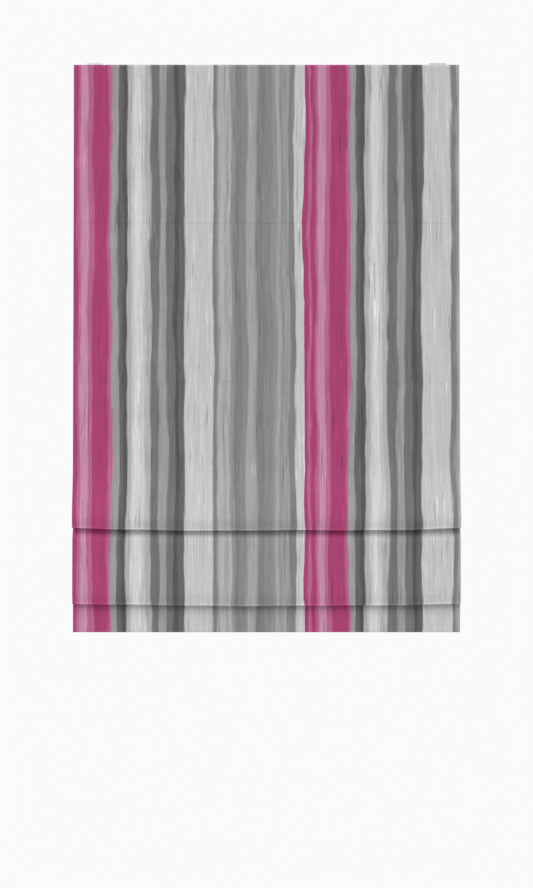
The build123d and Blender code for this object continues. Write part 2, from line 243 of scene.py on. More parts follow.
# %% The hem band and the lining's lines
hem_height = 32 * MM
hem_tuck = 14 * MM
hem_radius = 2.3 * MM
tuck_bend = 3 * MM
bar_gap = 0.7 * MM
hem_inset = 0.4 * MM
lining_inset = 3.4 * MM
hem_back_y = bar_high.y + bar_gap
tuck_y = band_y + 2 * lining_distance
hem_top = cloth_bottom + hem_height
hem_low = cloth_bottom + hem_inset
tuck_low = hem_top + 2 * (hem_back_y - tuck_y)
lines["band"] = rounded_line(
    [(rod_y, crest_z[3]), (band_y, crest_z[3]), (band_y, hem_low), (hem_back_y, hem_low),
     (hem_back_y, hem_top), (tuck_y, tuck_low), (tuck_y, tuck_low + hem_tuck)],
    [crest_radius, hem_radius, hem_radius, tuck_bend, tuck_bend], ROW)
lining_end = cloth_bottom + lining_inset
lines["lining_band"] = rounded_line([(rod_y, crest_z[3]), (band_y, crest_z[3]), (band_y, lining_end)],
                                    [crest_radius], ROW)
lines["lining_1"] = rounded_line([(flat_y, cloth_top), (flat_y - shingle, rod_z[0])], [], ROW)
lines["lining_2"] = rounded_line(behind_pleat(0) + [(flat_y - shingle, rod_z[1])], [pleat], ROW)
lining_lines = ["lining_1", "lining_2", "front_3", "front_4"]


def run_lengths(points):
    """The length along the line from its start to each point."""
    return np.concatenate([[0], np.cumsum(np.linalg.norm(np.diff(points, axis=0), axis=1))])


def line_length(name):
    """The whole length of a line."""
    return float(run_lengths(lines[name])[-1])


starts = {}
cloth_length = 0.0
face_lines = [f"{side}_{i}" for i in (1, 2, 3, 4) for side in ("front", "back")] + ["band"]
for line_name in face_lines:
    starts[line_name] = cloth_length
    cloth_length += line_length(line_name)
for line_name, beside in (("lining_1", "front_1"), ("lining_2", "front_2"), ("lining_band", "band"),
                          ("flap", "back_3")):
    starts[line_name] = starts[beside]
print("length of cloth along the line:", round(cloth_length, 3), "m")

# %% [markdown]
# ## Meshes from grids
#
# A sheet of cloth is a grid: one direction runs along the line above, the other across the blind. Two
# such grids, one for each side of the cloth, are closed by a rim into a thin solid. Cords, threads and
# pockets are tubes: rings of points, each joined to the next.


# %% Faces of grids, rims and tubes
def grid_faces(rows, columns, offset=0, flip=False):
    """Quads of a grid of rows by columns vertices, as an array of four indices each."""
    start = (np.arange(rows - 1)[:, None] * columns + np.arange(columns - 1)[None, :]).ravel() + offset
    quads = np.stack([start, start + columns, start + columns + 1, start + 1], axis=1)
    return quads[:, ::-1] if flip else quads


def border(rows, columns, offset=0):
    """The grid's outer vertices in order round it."""
    index = np.arange(rows * columns).reshape(rows, columns) + offset
    return np.concatenate([index[0, :-1], index[:-1, -1], index[-1, :0:-1], index[:0:-1, 0]])


def tube_faces(rings, sides):
    """Quads between rings of points, where the last point of a ring joins the first."""
    index = np.arange(rings * sides).reshape(rings, sides)
    turned = np.roll(index, -1, axis=1)
    return np.stack([index[:-1], turned[:-1], turned[1:], index[1:]], axis=2).reshape(-1, 4)


def tube_ends(rings, sides):
    """Quads that close the first and the last ring of a tube with an even number of sides."""
    fan = np.array([[0, k + 2, k + 1, k] for k in range(1, sides - 2, 2)])
    return np.concatenate([fan, fan[:, ::-1] + (rings - 1) * sides])


def tube_places(around, along):
    """The place round and along a tube for each corner of its faces, with no jump where a ring closes."""
    u = np.stack([around[:-1], around[1:], around[1:], around[:-1]], axis=1)
    v = np.stack([along[:-1], along[:-1], along[1:], along[1:]], axis=1)
    return np.stack(np.broadcast_arrays(u[None], v[:, None]), axis=3).reshape(-1, 2)


print("a grid of 3 by 4 points has", len(grid_faces(3, 4)), "faces, with", len(border(3, 4)),
      "points at its border")


# %% A piece from arrays
def mesh_piece(name, vertices, faces, flat_faces=(), places=None, corner_places=None):
    """A piece made from arrays. flat_faces aren't shaded smooth. places holds where each vertex lies on
    the cloth, and corner_places where each corner of the faces does."""
    mesh = bpy.data.meshes.new(name)
    quads = np.concatenate([faces, flat_faces]) if len(flat_faces) else np.asarray(faces)
    mesh.from_pydata(vertices.tolist(), [], quads.tolist())
    smooth = np.ones(len(quads), bool)
    smooth[len(faces):] = False
    mesh.polygons.foreach_set("use_smooth", smooth)
    if places is not None:
        corner_places = places[quads.ravel()]
    if corner_places is not None:
        full = np.zeros((quads.size, 2), np.float32)
        full[:len(corner_places)] = corner_places
        mesh.uv_layers.new(name="cloth").data.foreach_set("uv", full.ravel())
    mesh.update()
    piece = bpy.data.objects.new(name, mesh)
    bpy.context.scene.collection.objects.link(piece)
    return piece


# %% [markdown]
# ## How the cloth hangs
#
# Cloth is never quite flat. Slow waves lean it by up to half a millimetre, the folds' lower edges
# ripple and hang a few millimetres lower in the middle than at the sides, and the blind is a little
# wider at its hem than at its taped top.

# %% Waves, droop and spread
droop = [6 * MM, 4.5 * MM]
droop_power = 3.2
ripple = 2.5
spread = 0.006
wave_height = 0.22 * MM
quick_share = 0.7
level_share = 0.6
most_lean = (1 + quick_share + level_share) * wave_height


def smooth_step(share):
    """0 below 0, 1 above 1, and an even S between them."""
    share = np.clip(share, 0, 1)
    return share * share * (3 - 2 * share)


def waves(x, z):
    """Sums of sines of x and z whose periods don't divide each other."""
    slow = np.sin(2 * np.pi * (x / 0.41 + z / 1.9) + 0.6)
    quick = np.sin(2 * np.pi * (x / 0.173 - z / 0.83))
    level = np.sin(2 * np.pi * (x / 0.67 + z / 0.37) + 4.0)
    return wave_height * (slow + quick_share * quick + level_share * level)


def looseness(z):
    """0 where a rod, a fold or the rail holds the cloth straight, 1 midway between them."""
    reach = 90 * MM
    levels = [cloth_top, *rod_z, *fold_z, cloth_bottom]
    return np.min([smooth_step(np.abs(z - level) / reach) for level in levels], axis=0)


print("waves lean the cloth by up to", round(most_lean / MM, 1), "mm")

# %% A closed sheet along a line
side_hem = 40 * MM
lining_hem = 20 * MM
COLUMN = 7 * MM


def sheet_columns(half):
    """Places across the sheet, closer together over its hemmed sides."""
    inner = np.arange(-half + side_hem + COLUMN, half - side_hem - COLUMN / 2, COLUMN)
    edge = half - side_hem * np.array([0, 0.02, 0.06, 0.2, 0.45, 0.75, 0.92, 0.97, 1.0, 1.05])
    return np.unique(np.concatenate([-edge, inner, edge]).round(6))


def sheet_piece(name, line_name, half, near_side, far_side, lean_side=0, sag=None):
    """A thin closed solid whose two sides lie at the distances near_side(x) and far_side(x) to the left
    of the line. Each vertex is the line's point plus that distance along the line's left normal, leaned
    by the waves, lowered by the droop and spread sideways towards the hem. lean_side is -1 where the
    waves only lean to the room, 1 where they only lean to the window and 0 where the sheet doesn't lean,
    so that sheets which come to lie behind one another as the blind is drawn up keep their order."""
    line = lines[line_name]
    x = sheet_columns(half)[None, :]
    lengths = run_lengths(line)
    heading = np.gradient(line, lengths, axis=0)
    heading /= np.linalg.norm(heading, axis=1)[:, None]
    level = line[:, 1:]
    lean = (lean_side * most_lean + abs(lean_side) * waves(x, level)) / 2 * looseness(level)
    sink = 0 if sag is None else sag(line, x)
    wide = x * (1 + spread * smooth_step((cloth_top - level) / (cloth_top - cloth_bottom)))
    sides = []
    for distance in (near_side(x), far_side(x)):
        y = line[:, :1] - heading[:, 1:] * distance + lean
        z = level + heading[:, :1] * distance - sink
        sides.append(np.stack([wide, y, z], axis=2).reshape(-1, 3))
    rows, columns = lean.shape
    count = rows * columns
    faces = np.concatenate([grid_faces(rows, columns), grid_faces(rows, columns, count, flip=True)])
    outer, inner = border(rows, columns), border(rows, columns, count)
    rim = np.stack([outer, np.roll(outer, -1), np.roll(inner, -1), inner], axis=1)
    along = (lengths + starts[line_name])[:, None]
    flat = np.stack(np.broadcast_arrays(x + half_width, along), axis=2).reshape(-1, 2)
    return mesh_piece(name, np.concatenate(sides), faces, rim, places=np.concatenate([flat, flat]))


print("columns across the face cloth:", len(sheet_columns(half_width)))

# %% [markdown]
# ## The face cloth
#
# The sides are turned to the back by four centimetres, so the cloth is thicker there. Each stretch from
# a rod down to its fold is one sheet, and the strip behind the fold goes with it. A narrow flap of the
# same cloth covers the third rod's pocket, which shows when the upper fold is let right down.
#
# Each stretch would be shared between the bodies at its two ends, by a share that depends only on its
# height; the shares are worked out below, but the stretches are only baked in place. At the lowest fold's
# edge the share is more than the half that cloth of a fixed length would take, because with less the strip
# behind it would double back on itself as the fold is let out. The band below the lowest rod rides on the
# bottom body, and the flap on the third rod's body.

# %% The shares by which each stretch would bend between two bodies
bodies = ["headrail_body", "rod_1_body", "rod_2_body", "rod_3_body", "bottom_body"]
stretch_top = [cloth_top, rod_z[0], rod_z[1], crest_z[2]]
stretch_end = [rod_z[0] - pleat, rod_z[1] - pleat, split_z[0], split_z[1]]
stretch_lowest = [rod_z[0] - pleat, rod_z[1] - pleat, fold_z[0], fold_z[1]]
strip_top = [rod_z[0], rod_z[1], crest_z[2], crest_z[3]]
edge_share = [0.5, 0.5, 0.55, 0.68]
bend_end = [top - (top - low) / share for low, top, share in zip(stretch_lowest, stretch_top, edge_share)]


def bend_front(piece):
    """Bakes the piece's transform into its mesh; the piece is not shared between the bodies at its
    stretch's ends."""
    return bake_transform(piece)


def bend_strip(piece, i):
    """Works out the share of the motion the strip would take over from the front at the split, and where
    that share, linear in height before it is smoothed, would start; neither is used, and the piece's
    transform is only baked into its mesh."""
    share = (stretch_top[i] - stretch_end[i]) / (stretch_top[i] - bend_end[i])
    start = strip_top[i] - (strip_top[i] - stretch_end[i]) / (1 - share)
    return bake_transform(piece)


def fold_sag(i):
    """How far a fold's front sinks: most in the middle of the blind, with a ripple across it. It grows
    from the top to the lower edge, and is gone at the split."""
    def sink(line, x):
        top = stretch_top[2 + i]
        down = smooth_step((top - line[:, 1]) / (top - fold_z[i]))
        up = smooth_step((split_z[i] - line[:, 1]) / (split_z[i] - fold_z[i]))
        share = np.where(np.arange(len(line)) <= np.argmin(line[:, 1]), down, up)
        depth = droop[i] * (1 - np.abs(x / half_width) ** droop_power) + ripple * waves(x, fold_z[i])
        return share[:, None] * depth
    return sink


print("shares at the splits:", [round(float((top - low) / (top - end)), 3)
                                for top, low, end in zip(stretch_top, stretch_end, bend_end)])

# %% Cut the face cloth
hem_turn = 0.35 * MM
turn_edge = 2 * MM
flap_thick = 0.2 * MM


def face_near(x):
    """The room side of the face cloth."""
    return -cloth_thick / 2 + 0 * x


def face_far(x):
    """The window side, which stands out further over the hems turned at the sides."""
    return cloth_thick / 2 + hem_turn * smooth_step((np.abs(x) - half_width + side_hem) / turn_edge)


def flap_near(x):
    """The room side of the flap, which is one thin layer of cloth."""
    return -flap_thick / 2 + 0 * x


def flap_far(x):
    """The window side of the flap."""
    return flap_thick / 2 + 0 * x


sags = [None, None, fold_sag(0), fold_sag(1)]
lean_sides = [-1, 0, 1, 1]
face_fronts = []
face_backs = []
for i in range(4):
    front = sheet_piece(f"face_cloth_{i + 1}", f"front_{i + 1}", half_width, face_near, face_far,
                        lean_sides[i], sags[i])
    back = sheet_piece(f"face_cloth_{i + 1}_back", f"back_{i + 1}", half_width, face_near, face_far)
    face_fronts.append(bend_front(front))
    face_backs.append(bend_strip(back, i))
face_band = sheet_piece("face_cloth_5", "band", half_width, face_near, face_far)
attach(face_band, "bottom_body")
face_flap = sheet_piece("face_flap", "flap", lining_half, flap_near, flap_far)
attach(face_flap, "rod_3_body")
face_pieces = face_fronts + face_backs + [face_band, face_flap]
for piece in face_pieces:
    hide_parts("face_fabric")
print("face cloth:", sum(len(piece.data.polygons) for piece in face_pieces), "faces")

# %% [markdown]
# ## The lining
#
# The lining lies against the face cloth's back, stops short of its side edges, and ends inside the
# bottom hem. It is a plain ivory cotton blend. It is left out of the strips behind the folds and the
# pleats, where it would show as pale patches once the blind is drawn up.

# %% Cut the lining
lining_turn = 0.25 * MM


def lining_near(x):
    """The lining's side that lies against the face cloth."""
    return lining_distance - lining_thick / 2 + 0 * x


def lining_far(x):
    """The lining's window side, with a narrow hem turned at its own sides."""
    turned = smooth_step((np.abs(x) - lining_half + lining_hem) / turn_edge)
    return lining_distance + lining_thick / 2 + lining_turn * turned


lining_fronts = []
for i in range(4):
    front = sheet_piece(f"lining_cloth_{i + 1}", lining_lines[i], lining_half, lining_near, lining_far,
                        lean_sides[i], sags[i])
    lining_fronts.append(bend_front(front))
lining_band = sheet_piece("lining_cloth_5", "lining_band", lining_half, lining_near, lining_far)
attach(lining_band, "bottom_body")
lining_pieces = lining_fronts + [lining_band]
print("lining:", sum(len(piece.data.polygons) for piece in lining_pieces), "faces")

# %% [markdown]
# ## Rod pockets
#
# Each stiffening rod lies in a narrow tube sewn to the lining. The tube is open where a cord ring grips
# the rod, so it is made in four lengths. Its cloth creases a little between the rings.

# %% Sew the pockets
ring_gap = 6 * MM
pocket_inset = 2 * MM
pocket_step = 6 * MM
pocket_swell = 0.12 * MM
POCKET_SIDES = 24


def pocket_piece(name, low, high, z):
    """A cloth tube round the rod: rings whose radius swells by small waves along and round the tube."""
    x = np.linspace(low, high, max(4, int((high - low) / pocket_step)))[:, None]
    angle = np.linspace(0, 2 * np.pi, POCKET_SIDES + 1)[None, :-1]
    swell = pocket_swell * np.sin(x * 140 + 3 * angle + 9 * z) * np.sin(x * 61 + 1.3)
    reach = pocket_radius + swell
    tube = np.stack([x + 0 * reach, rod_y + reach * np.cos(angle), z + reach * np.sin(angle)], axis=2)
    around = np.linspace(0, 2 * np.pi * pocket_radius, POCKET_SIDES + 1)
    places = tube_places(around, x[:, 0] + half_width)[:, ::-1]
    piece = mesh_piece(name, tube.reshape(-1, 3), tube_faces(*reach.shape), corner_places=places)
    wall = piece.modifiers.new("cloth", "SOLIDIFY")
    wall.thickness = lining_thick
    wall.offset = 0
    return piece


pocket_ends = [-lining_half + pocket_inset]
for x in cord_x:
    pocket_ends += [x - ring_gap, x + ring_gap]
pocket_ends.append(lining_half - pocket_inset)
pocket_pieces = []
for number, z in enumerate(rod_z, 1):
    for part, (low, high) in enumerate(zip(pocket_ends[::2], pocket_ends[1::2]), 1):
        pocket = pocket_piece(f"rod_pocket_{number}_{part}", low, high, z)
        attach(pocket, bodies[number])
        pocket_pieces.append(pocket)
for piece in lining_pieces + pocket_pieces:
    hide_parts("lining")
print("pockets:", len(pocket_pieces))

# %% [markdown]
# ## Stitches
#
# The heading is sewn to its loop tape by two rows of short threads, which take the print's own colours
# on the face. The bottom hem has one row on its back. A stitch is a short thread with round ends, and a
# row is many of them.

# %% Rows of stitches
stitch_length = 3.0 * MM
stitch_pitch = 3.9 * MM
thread_radius = 0.2 * MM
row_inset = 6 * MM
tape_inset = 2.5 * MM


def stitch_row(name, y, z, outward):
    """One mesh of many stitches in a row along X. A stitch's rings shrink to its round ends, and its
    middle rises by most of the thread's radius towards the outward side."""
    places = np.arange(-half_width + row_inset, half_width - row_inset - stitch_length, stitch_pitch)
    along = np.array([0.0, 0.06, 0.2, 0.5, 0.8, 0.94, 1.0])
    angle = np.linspace(0, 2 * np.pi, 7)[:-1]
    reach = thread_radius * np.sqrt(np.clip(1 - np.abs(2 * along - 1) ** 4, 0.02, 1))[:, None]
    rise = outward * 0.8 * thread_radius * np.sin(np.pi * along)[:, None]
    x = (along * stitch_length)[:, None] + 0 * reach * angle
    one = np.stack([x, y + rise + reach * np.cos(angle), z + reach * np.sin(angle)], axis=2).reshape(-1, 3)
    quads = np.concatenate([tube_faces(*x.shape), tube_ends(*x.shape)])
    vertices = (one[None] + places[:, None, None] * np.array([1.0, 0, 0])).reshape(-1, 3)
    faces = (quads[None] + (np.arange(len(places)) * len(one))[:, None, None]).reshape(-1, 4)
    flat = np.stack([vertices[:, 0] + half_width, cloth_top - vertices[:, 2]], axis=1)
    return mesh_piece(name, vertices, faces, places=flat)


heading_rows = []
for number, z in enumerate((tape_high.z - tape_inset, tape_low.z + tape_inset), 1):
    lean = shingle * (cloth_top - z) / rod_pitch
    row = stitch_row(f"heading_stitches_{number}", flat_y - cloth_thick / 2 - lean, z, -1)
    heading_rows.append(bend_front(row))
hem_row = stitch_row("hem_stitches", tuck_y + cloth_thick / 2, tuck_low + 0.4 * hem_tuck, 1)
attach(hem_row, "bottom_body")
print("rows of stitches:", len(heading_rows) + 1)

# %% [markdown]
# ## Lift cords
#
# A cord runs from each spool straight down through the rings to its stop below the lowest rod. Between two
# rods the three cords are one mesh, baked in place. On the real blind the cord is wound away above as the
# rods close up.

# %% Braided cords
cord_radius = (cord_boxes[0][1].x - cord_boxes[0][0].x) / 2
cord_y = (cord_boxes[0][0].y + cord_boxes[0][1].y) / 2
cord_levels = [cord_boxes[0][1].z, *rod_z]
cord_foot = cord_boxes[0][0].z
cord_step = 5 * MM
CORD_SIDES = 10


def cord_piece(name, high, low):
    """Three upright tubes between two heights. Each ring is round, with a slight swell from the braid."""
    z = np.linspace(low, high, max(3, int((high - low) / cord_step)))[:, None]
    angle = np.linspace(0, 2 * np.pi, CORD_SIDES + 1)[None, :-1]
    ring = cord_radius * (1 + 0.04 * np.sin(z * 2400 + 2 * angle))
    tubes = [np.stack([x + ring * np.cos(angle), cord_y + ring * np.sin(angle), z + 0 * ring], axis=2)
             for x in cord_x]
    walls = tube_faces(len(z), CORD_SIDES)
    ends = tube_ends(len(z), CORD_SIDES)
    shifts = (np.arange(len(cord_x)) * ring.size)[:, None, None]
    places = tube_places(np.linspace(0, 2 * np.pi * cord_radius, CORD_SIDES + 1), z[:, 0])
    return mesh_piece(name, np.concatenate([tube.reshape(-1, 3) for tube in tubes]),
                      (walls[None] + shifts).reshape(-1, 4), (ends[None] + shifts).reshape(-1, 4),
                      corner_places=np.tile(places, (len(cord_x), 1)))


cord_pieces = []
for i in range(4):
    high, low = cord_levels[i], cord_levels[i + 1]
    cords = cord_piece(f"lift_cords_{i + 1}", high, cord_foot if i == 3 else low)
    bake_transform(cords)
    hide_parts("lift_cord_1", "lift_cord_2", "lift_cord_3")
    cord_pieces.append(cords)
print("cord pieces:", len(cord_pieces), "radius", round(cord_radius / MM, 2), "mm")

# %% [markdown]
# ## Shader arithmetic
#
# Every finish below is arithmetic on a place on the surface. A small class holds one output of the
# shader graph, and each plus, minus or times adds the node for it, so that a formula reads as one.


# %% A value in a shader graph
class Value:
    """One output in a graph, with arithmetic that adds a Math node for each step."""

    def __init__(self, graph, socket):
        self.graph = graph
        self.socket = socket

    def __add__(self, other):
        return self.graph.math("ADD", self, other)

    def __sub__(self, other):
        return self.graph.math("SUBTRACT", self, other)

    def __rsub__(self, other):
        return self.graph.math("SUBTRACT", other, self)

    def __mul__(self, other):
        return self.graph.math("MULTIPLY", self, other)

    def __truediv__(self, other):
        return self.graph.math("DIVIDE", self, other)

    __radd__ = __add__
    __rmul__ = __mul__


class Graph:
    """The nodes of one material or world."""

    def __init__(self, owner):
        owner.use_nodes = True
        self.owner = owner
        self.tree = owner.node_tree
        self.made = 0

    def node(self, kind, settings=(), values=(), output=0):
        """Any node: its settings first, then its inputs by name or number, and one of its outputs."""
        node = self.tree.nodes.new("ShaderNode" + kind)
        node.location = (-240 * (1 + self.made % 12), -220 * (self.made // 12))
        self.made += 1
        for key, value in dict(settings).items():
            setattr(node, key, value)
        for key, value in dict(values).items():
            self.feed(node.inputs[key], value)
        return Value(self, node.outputs[output])

    def feed(self, socket, value):
        """Link a value to an input, or set the input to a constant."""
        if isinstance(value, Value):
            self.tree.links.new(value.socket, socket)
        elif socket.type == "VECTOR":
            socket.default_value = value[:3]
        else:
            socket.default_value = value

    def math(self, operation, *terms):
        """A Math node over the terms."""
        return self.node("Math", {"operation": operation}, dict(enumerate(terms)))

    def parts(self, vector):
        """The X, Y and Z of a vector."""
        split = self.node("SeparateXYZ", {}, {0: vector}).socket.node
        return [Value(self, output) for output in split.outputs]

    def point(self, x, y, z=0.0):
        """A vector from its three parts."""
        return self.node("CombineXYZ", {}, {"X": x, "Y": y, "Z": z})

    def noise(self, vector, scale=1.0, detail=2.0, roughness=0.5):
        """Soft noise about 0.5."""
        return self.node("TexNoise", {}, {"Vector": vector, "Scale": scale, "Detail": detail,
                                          "Roughness": roughness})

    def step(self, value, low, high):
        """A smooth step from 0 at low to 1 at high."""
        return self.node("MapRange", {"interpolation_type": "SMOOTHSTEP"},
                         {"Value": value, "From Min": low, "From Max": high})

    def mix(self, factor, first, second):
        """Two colours mixed by a factor."""
        return self.node("Mix", {"data_type": "RGBA"}, {0: factor, 6: first, 7: second}, output=2)

    def shade(self, colour, brightness):
        """A colour made lighter or darker by a factor."""
        return self.node("VectorMath", {"operation": "SCALE"}, {0: colour, "Scale": brightness})

    def surface(self, colour, roughness, height=None, depth=0.0, constants=()):
        """The finished surface: colour, roughness and bump by values, the rest as constants."""
        shader = self.tree.nodes["Principled BSDF"]
        self.feed(shader.inputs["Base Color"], colour)
        self.feed(shader.inputs["Roughness"], roughness)
        if height is not None:
            normal = self.node("Bump", {}, {"Height": height, "Distance": depth, "Strength": 1.0})
            self.feed(shader.inputs["Normal"], normal)
        for key, value in dict(constants).items():
            shader.inputs[key].default_value = value
        return self.owner


def new_graph(name):
    """The graph of a new material."""
    return Graph(bpy.data.materials.new(name))


def linear(red, green, blue):
    """A screen colour of 0 to 255 as light: ((c + 0.055) / 1.055) ** 2.4 above 0.04045."""
    screen = np.array([red, green, blue]) / 255
    light = np.where(screen > 0.04045, ((screen + 0.055) / 1.055) ** 2.4, screen / 12.92)
    return (*light.tolist(), 1.0)


print("a mid grey of 128 is", round(linear(128, 128, 128)[0], 3), "as light")

# %% [markdown]
# ## The stripe print
#
# The print repeats one set of upright stripes, given here as a designer would: a palette of inks and
# the width of each stripe in millimetres. A colour ramp has room for thirty-two stops, so a repeat takes
# several. Within a ramp each edge is softened over about three millimetres, as brushed ink is.

# %% Palette and stripes of one repeat
inks = {
    "magenta": linear(163, 60, 108),
    "plum": linear(177, 96, 137),
    "rose": linear(190, 134, 163),
    "pearl": linear(204, 204, 205),
    "silver": linear(191, 191, 192),
    "dove": linear(170, 170, 170),
    "fog": linear(158, 158, 158),
    "ash": linear(149, 149, 150),
    "stone": linear(141, 140, 141),
    "pebble": linear(132, 131, 132),
    "flint": linear(124, 123, 124),
    "slate": linear(110, 109, 111),
    "iron": linear(98, 96, 98),
    "charcoal": linear(82, 80, 82),
}
stripes = [
    (9, "magenta"), (7, "plum"), (10, "magenta"), (6, "plum"), (17, "rose"), (12, "plum"), (36, "magenta"),
    (7, "plum"), (16, "ash"), (11, "iron"), (10, "charcoal"), (12, "dove"), (6, "silver"), (14, "pearl"),
    (10, "silver"), (13, "dove"), (20, "slate"), (17, "ash"), (19, "slate"), (10, "charcoal"), (13, "iron"),
    (66, "silver"), (10, "flint"), (5, "ash"), (13, "dove"), (8, "fog"), (6, "dove"), (9, "stone"),
    (12, "flint"), (16, "pebble"), (19, "fog"), (5, "ash"), (17, "flint"), (18, "pebble"), (10, "stone"),
    (9, "fog"), (6, "stone"), (15, "ash"), (14, "flint"), (21, "silver"),
]
repeat = sum(width for width, ink in stripes) * MM
first_stripe = -16 * MM
edge_soft = 1.7 * MM
stripes_per_ramp = 14
print("stripes:", len(stripes), "repeat:", round(repeat / MM), "mm")


# %% Turn the stripes into colour ramps
def ramp_through(graph, place, stops):
    """A colour ramp over 0 to 1 with its stops as (place, colour)."""
    ramp = graph.node("ValToRGB", {}, {"Fac": place})
    elements = ramp.socket.node.color_ramp.elements
    for index, (position, colour) in enumerate(stops):
        element = elements[index] if index < 2 else elements.new(1.0)
        element.position = min(position, 1.0)
        element.color = colour
    return ramp


def stripe_colour(graph, across):
    """The ink at a distance across the cloth. The repeat is cut into runs of fourteen stripes, each run
    has a ramp of two stops for every stripe, and the ramps are laid over one another run by run."""
    place = graph.math("FLOORED_MODULO", across - first_stripe, repeat)
    edge = 0.0
    colour = None
    for start in range(0, len(stripes), stripes_per_ramp):
        run = stripes[start:start + stripes_per_ramp]
        run_start = edge
        run_length = sum(width for width, ink in run) * MM
        stops = []
        for width, ink in run:
            stops += [((edge + edge_soft - run_start) / run_length, inks[ink]),
                      ((edge + width * MM - edge_soft - run_start) / run_length, inks[ink])]
            edge += width * MM
        ramp = ramp_through(graph, (place - run_start) / run_length, stops)
        later = graph.math("GREATER_THAN", place, run_start)
        colour = ramp if colour is None else graph.mix(later, colour, ramp)
    return colour


# %% [markdown]
# ## Woven cloth
#
# Both cloths are plain weave: threads go over and under each other in turn, so the surface is a
# chequer of small crowns. Linen-look yarn is uneven, which shows as short thick slubs along both
# directions. The print is brushed: long soft streaks run down it, and the stripes' edges wander.

# %% Weave, slubs and streaks
drift_reach = 24 * MM
fray_reach = 7 * MM
coarse_yarn = 2.4 * MM
fine_yarn = 0.8 * MM
thread_pitch = 0.62 * MM


def cloth_place(graph):
    """The place on the flat cloth, in metres across and along it."""
    return graph.parts(graph.node("TexCoord", output=2))[:2]


def slubs(graph, across, along, pitch):
    """Uneven yarn: noise drawn out along each thread direction, centred on 0."""
    warp = graph.noise(graph.point(across / pitch, along / (14 * pitch)))
    weft = graph.noise(graph.point(across / (14 * pitch), along / pitch))
    return warp + weft - 1.0


def weave_height(graph, across, along, pitch):
    """Crowns of a plain weave: the product of two sines, whose sign changes from thread to thread."""
    turns = math.pi / pitch
    return graph.math("SINE", across * turns) * graph.math("SINE", along * turns)


def printed_cloth():
    """The face cloth: stripes whose edges drift and fray, brush streaks, slubs, and slivers where the
    brush ran dry or wet, which are strongest where the print was worked over most."""
    graph = new_graph("printed_cloth")
    across, along = cloth_place(graph)
    drift = graph.noise(graph.point(across * 24, along * 3.8)) - 0.5
    fray = graph.noise(graph.point(across * 170, along * 14), 1.0, 3.0, 0.6) - 0.5
    colour = stripe_colour(graph, across + drift * drift_reach + fray * fray_reach)
    streaks = graph.noise(graph.point(across * 260, along * 4), 1.0, 3.0, 0.6) - 0.5
    patches = graph.noise(graph.point(across * 70, along * 4)) - 0.5
    worked = graph.step(graph.noise(graph.point(across * 26, along * 3, 9.0)), 0.42, 0.58)
    dry = graph.step(graph.noise(graph.point(across * 230, along * 11, 3.0)), 0.60, 0.68)
    wet = graph.step(graph.noise(graph.point(across * 210, along * 9, 6.0)), 0.60, 0.68)
    marks = (dry - wet) * (0.12 + worked * 0.2)
    coarse = slubs(graph, across, along, coarse_yarn)
    fine = slubs(graph, across, along, fine_yarn)
    brightness = 1.0 + streaks * 0.6 + patches * 0.3 + marks + coarse * 0.2 + fine * 0.14
    height = weave_height(graph, across, along, thread_pitch) * 0.5 + fine * 0.8 + coarse * 0.9
    return graph.surface(graph.shade(colour, brightness), 0.82 + coarse * 0.1, height, 0.12 * MM,
                         {"Sheen Weight": 0.06, "Sheen Roughness": 0.4, "Specular IOR Level": 0.25})


def plain_cloth(name, colour, pitch, contrast):
    """A one-colour weave with slubs."""
    graph = new_graph(name)
    across, along = cloth_place(graph)
    fine = slubs(graph, across, along, 1.5 * pitch)
    coarse = slubs(graph, across, along, 5 * pitch)
    patches = graph.noise(graph.point(across * 6, along * 4)) - 0.5
    shaded = graph.shade(colour, 1.0 + (fine + coarse) * contrast + patches * 0.06)
    height = weave_height(graph, across, along, pitch) * 0.5 + fine * 0.7
    return graph.surface(shaded, 0.85 + fine * 0.1, height, 0.1 * MM,
                         {"Sheen Weight": 0.1, "Specular IOR Level": 0.2})


face_material = printed_cloth()
lining_material = plain_cloth("lining_weave", linear(232, 226, 212), 0.5 * MM, 0.12)
print("face cloth nodes:", len(face_material.node_tree.nodes))

# %% [markdown]
# ## Metals, plastics and cords
#
# These finishes take their place from the object's own coordinates, in metres. Only the braid of the
# lift cords is laid out by the place round and along each cord, so that it follows the cord down.

# %% Finishes of the fittings
strand_turns = 4500
along_grain = 8
across_grain = 1600


def object_place(graph):
    """The place in the object's own coordinates."""
    return graph.node("TexCoord", output=3)


def painted_metal():
    """Powder coat: a fine orange peel with a few faint rubbed patches."""
    graph = new_graph("powder_coat")
    place = object_place(graph)
    peel = graph.noise(place, 1400)
    rubbed = graph.step(graph.noise(place, 22, 4.0, 0.6), 0.58, 0.75)
    colour = graph.mix(rubbed, linear(232, 232, 229), linear(222, 221, 216))
    return graph.surface(colour, 0.38 + rubbed * 0.14, peel, 0.06 * MM)


def moulded_plastic(name, colour, rough, worn):
    """Moulded plastic: fine spark-eroded texture, slight mottling and rubbed patches."""
    graph = new_graph(name)
    place = object_place(graph)
    mottle = graph.noise(place, 60, 3.0) - 0.5
    rubbed = graph.step(graph.noise(place, 90, 3.0), 0.6, 0.72)
    shaded = graph.mix(rubbed * worn, graph.shade(colour, 1.0 + mottle * 0.08), linear(150, 150, 148))
    return graph.surface(shaded, rough + rubbed * 0.12, graph.noise(place, 2600), 0.03 * MM)


